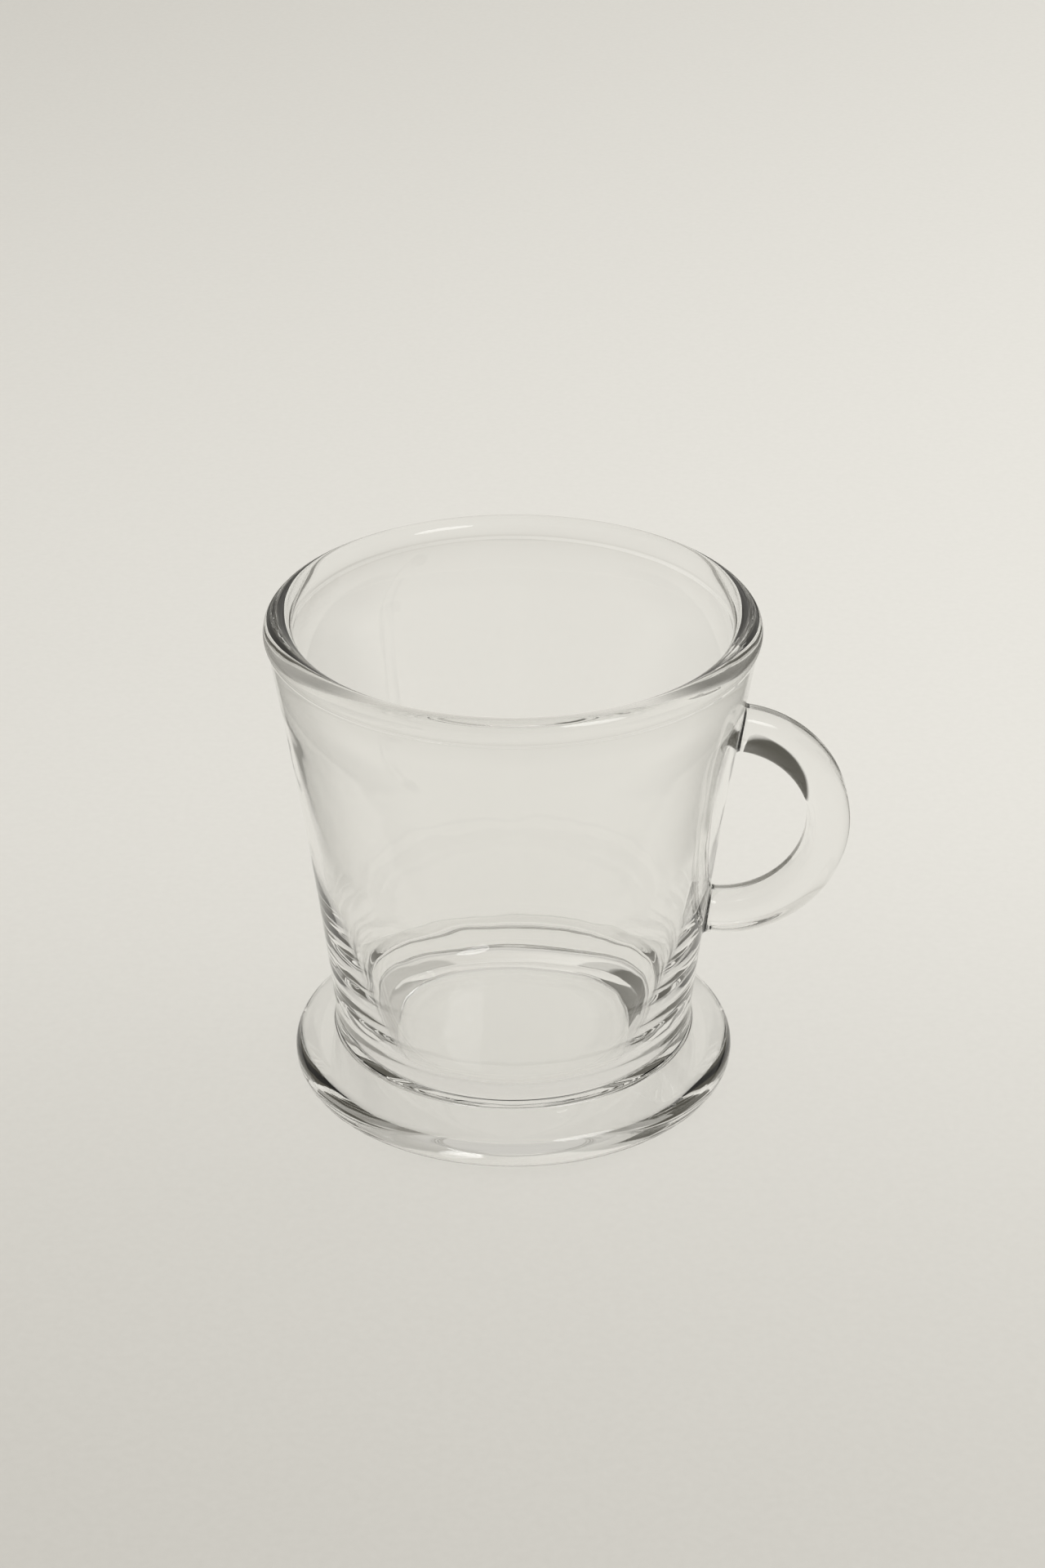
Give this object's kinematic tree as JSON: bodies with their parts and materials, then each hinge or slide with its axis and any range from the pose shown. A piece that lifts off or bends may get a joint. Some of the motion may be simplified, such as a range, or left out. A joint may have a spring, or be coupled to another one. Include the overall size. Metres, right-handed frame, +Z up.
{
  "type": "glass cappuccino cup",
  "caption": "Clear pressed glass cup with a gently flared bowl, a thick rounded lip, a ring handle and a wide round foot, for hot coffee drinks.",
  "frame": {"origin": "on the cup's axis, in the plane of the table that the foot's ring stands on", "axes": "+Z up along the cup's axis, +X from the axis towards the handle, +Y away from the viewer"},
  "size_m": [0.0953, 0.08, 0.083],
  "materials": {
    "clear_glass": "fire-polished clear pressed glass"
  },
  "bodies": {
    "root": {"bowl": "clear_glass", "foot": "clear_glass", "handle": "clear_glass"}
  },
  "joints": []
}
